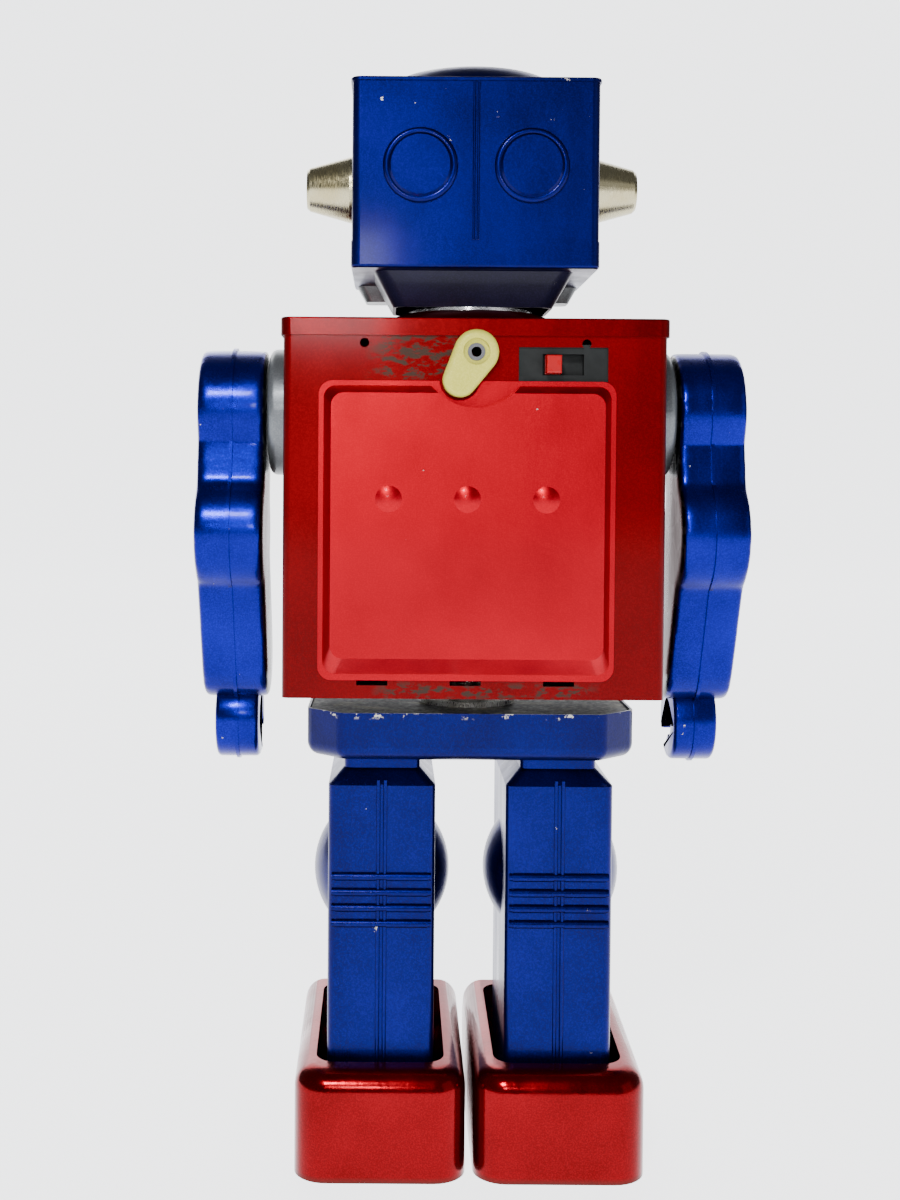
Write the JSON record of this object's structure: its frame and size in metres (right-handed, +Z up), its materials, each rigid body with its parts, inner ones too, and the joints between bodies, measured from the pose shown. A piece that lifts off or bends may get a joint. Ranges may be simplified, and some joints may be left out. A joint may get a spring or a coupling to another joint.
{
  "type": "toy robot",
  "caption": "Pressed-tin battery toy robot with a square head, box torso that turns at the waist, swinging legs on rolling boots, turning arms and a hinged battery cover.",
  "frame": {"origin": "centre of the bounding box on the floor, under the middle of the boots", "axes": "+Z up along the robot's height, -Y the way it faces, +X its own left side"},
  "size_m": [0.1464, 0.084, 0.2903],
  "materials": {
    "blue_enamel": "deep metallic blue enamel, glossy",
    "leg_enamel": "deep metallic blue enamel, glossy, darker",
    "red_enamel": "dark red enamel, satin gloss",
    "cover_enamel": "bright red enamel, worn at its edges",
    "boot_enamel": "candy red metallic enamel, glossy",
    "lever_paint": "pale yellow enamel",
    "cone_steel": "turned steel with yellowed lacquer",
    "neck_plate": "bright plated",
    "cup_grey": "grey printed tin",
    "dark_cowl": "near black enamel",
    "jaw_grey": "grey printed tin",
    "bare_tin": "bare tinplate",
    "bezel_tin": "bright plated",
    "window_clear": "clear plastic",
    "insulator": "dark fibre board",
    "cell_jacket": "plain printed foil",
    "contact_brass": "satin",
    "switch_plate": "dark fibre board",
    "knob_red": "gloss",
    "post_dark": "dark steel",
    "pin_steel": "turned steel",
    "gear_yellow": "gloss",
    "gear_green": "gloss",
    "gear_red": "gloss",
    "gear_white": "gloss",
    "motor_steel": "satin",
    "eye_amber": "gloss, translucent look",
    "grille_plate": "bright plated",
    "roller_rubber": "matte"
  },
  "bodies": {
    "pelvis": {"pelvis_pan": "leg_enamel", "pelvis_plate": "bare_tin", "waist_bearing": "pin_steel", "hip_rod": "pin_steel"},
    "torso": {"torso_shell": "red_enamel", "torso_lid": "red_enamel", "torso_floor": "bare_tin", "waist_shaft": "pin_steel", "neck_ring": "neck_plate", "chest_bezel": "bezel_tin", "chest_window": "window_clear", "battery_box": "insulator", "battery_cells": "cell_jacket", "battery_contacts": "contact_brass", "switch_body": "switch_plate", "latch_post": "post_dark", "motor_can": "motor_steel", "rear_gear_plate": "bare_tin", "front_gear_plate": "bare_tin", "head_shell": "blue_enamel", "head_cap": "blue_enamel", "head_base": "blue_enamel", "neck_cowl": "dark_cowl", "jaw": "jaw_grey", "left_ear_cone": "cone_steel", "right_ear_cone": "cone_steel", "eye_lenses": "eye_amber", "mouth_grille": "grille_plate", "left_shoulder_cup": "cup_grey", "right_shoulder_cup": "cup_grey", "shoulder_pins": "pin_steel"},
    "battery_cover": {"battery_cover": "cover_enamel"},
    "latch": {"latch_lever": "lever_paint"},
    "switch": {"switch_knob": "knob_red"},
    "left_arm": {"left_arm_outer_shell": "blue_enamel", "left_arm_inner_shell": "blue_enamel"},
    "right_arm": {"right_arm_outer_shell": "blue_enamel", "right_arm_inner_shell": "blue_enamel"},
    "gear_main": {"drive_gear": "gear_white", "centre_gear": "gear_yellow"},
    "gear_left": {"left_gear": "gear_green"},
    "gear_right": {"right_gear": "gear_red"},
    "motor_rotor": {"motor_pinion": "contact_brass"},
    "crank": {"crank_shaft": "pin_steel"},
    "left_leg": {"left_leg_outer_shell": "leg_enamel", "left_leg_inner_shell": "leg_enamel", "left_leg_bar": "pin_steel"},
    "left_boot": {"left_boot_shell": "boot_enamel", "left_sole_plate": "bare_tin", "left_ankle_pin": "pin_steel"},
    "left_front_axle": {"left_front_wheels": "roller_rubber"},
    "left_rear_axle": {"left_rear_wheels": "roller_rubber"},
    "right_leg": {"right_leg_outer_shell": "leg_enamel", "right_leg_inner_shell": "leg_enamel", "right_leg_bar": "pin_steel"},
    "right_boot": {"right_boot_shell": "boot_enamel", "right_sole_plate": "bare_tin", "right_ankle_pin": "pin_steel"},
    "right_front_axle": {"right_front_wheels": "roller_rubber"},
    "right_rear_axle": {"right_rear_wheels": "roller_rubber"}
  },
  "joints": [
    {"name": "waist_turn", "type": "hinge", "parent": "pelvis", "child": "torso", "pos_m": [0, 0.006, 0.12], "axis": [0, 0, 1], "continuous": true},
    {"name": "left_hip", "type": "hinge", "parent": "pelvis", "child": "left_leg", "pos_m": [0.0232, 0.007, 0.1125], "axis": [1, 0, 0], "range_deg": [-6, 6]},
    {"name": "right_hip", "type": "hinge", "parent": "pelvis", "child": "right_leg", "pos_m": [-0.0232, 0.007, 0.1125], "axis": [1, 0, 0], "range_deg": [-6, 6]},
    {"name": "left_ankle", "type": "hinge", "parent": "left_leg", "child": "left_boot", "pos_m": [0.0232, 0.007, 0.017], "axis": [1, 0, 0], "range_deg": [-6, 6]},
    {"name": "right_ankle", "type": "hinge", "parent": "right_leg", "child": "right_boot", "pos_m": [-0.0232, 0.007, 0.017], "axis": [1, 0, 0], "range_deg": [-6, 6]},
    {"name": "crank_turn", "type": "hinge", "parent": "pelvis", "child": "crank", "pos_m": [0, -0.012, 0.1125], "axis": [1, 0, 0], "range_deg": [-90, 90]},
    {"name": "left_shoulder", "type": "hinge", "parent": "torso", "child": "left_arm", "pos_m": [0.064, 0.006, 0.1985], "axis": [1, 0, 0], "continuous": true},
    {"name": "right_shoulder", "type": "hinge", "parent": "torso", "child": "right_arm", "pos_m": [-0.064, 0.006, 0.1985], "axis": [1, 0, 0], "continuous": true},
    {"name": "cover_hinge", "type": "hinge", "parent": "torso", "child": "battery_cover", "pos_m": [0.002, 0.0366, 0.1288], "axis": [-1, 0, 0], "range_deg": [0, 80]},
    {"name": "latch_turn", "type": "hinge", "parent": "torso", "child": "latch", "pos_m": [0, 0.0396, 0.2128], "axis": [0, 1, 0], "range_deg": [-75, 60]},
    {"name": "switch_slide", "type": "slide", "parent": "torso", "child": "switch", "axis": [-1, 0, 0], "range_m": [0, 0.005]},
    {"name": "gear_turn", "type": "hinge", "parent": "torso", "child": "gear_main", "pos_m": [0, -0.008, 0.159], "axis": [0, -1, 0], "continuous": true},
    {"name": "left_gear_turn", "type": "hinge", "parent": "torso", "child": "gear_left", "pos_m": [0.02208, -0.008, 0.17175], "axis": [0, -1, 0], "continuous": true},
    {"name": "right_gear_turn", "type": "hinge", "parent": "torso", "child": "gear_right", "pos_m": [-0.02208, -0.008, 0.17175], "axis": [0, -1, 0], "continuous": true},
    {"name": "motor_turn", "type": "hinge", "parent": "torso", "child": "motor_rotor", "pos_m": [0, -0.002, 0.139], "axis": [0, -1, 0], "continuous": true},
    {"name": "left_front_roll", "type": "hinge", "parent": "left_boot", "child": "left_front_axle", "pos_m": [0.0232, -0.027, 0.0045], "axis": [1, 0, 0], "continuous": true},
    {"name": "left_rear_roll", "type": "hinge", "parent": "left_boot", "child": "left_rear_axle", "pos_m": [0.0232, 0.027, 0.0045], "axis": [1, 0, 0], "continuous": true},
    {"name": "right_front_roll", "type": "hinge", "parent": "right_boot", "child": "right_front_axle", "pos_m": [-0.0232, -0.027, 0.0045], "axis": [1, 0, 0], "continuous": true},
    {"name": "right_rear_roll", "type": "hinge", "parent": "right_boot", "child": "right_rear_axle", "pos_m": [-0.0232, 0.027, 0.0045], "axis": [1, 0, 0], "continuous": true}
  ],
  "couplings": [
    {"joint": "right_hip", "follows": "left_hip", "ratio": -1},
    {"joint": "left_ankle", "follows": "left_hip", "ratio": -1},
    {"joint": "right_ankle", "follows": "left_hip", "ratio": 1},
    {"joint": "crank_turn", "follows": "left_hip", "ratio": -15},
    {"joint": "left_gear_turn", "follows": "gear_turn", "ratio": -1.4286},
    {"joint": "right_gear_turn", "follows": "gear_turn", "ratio": -1.4286},
    {"joint": "motor_turn", "follows": "gear_turn", "ratio": -4}
  ]
}
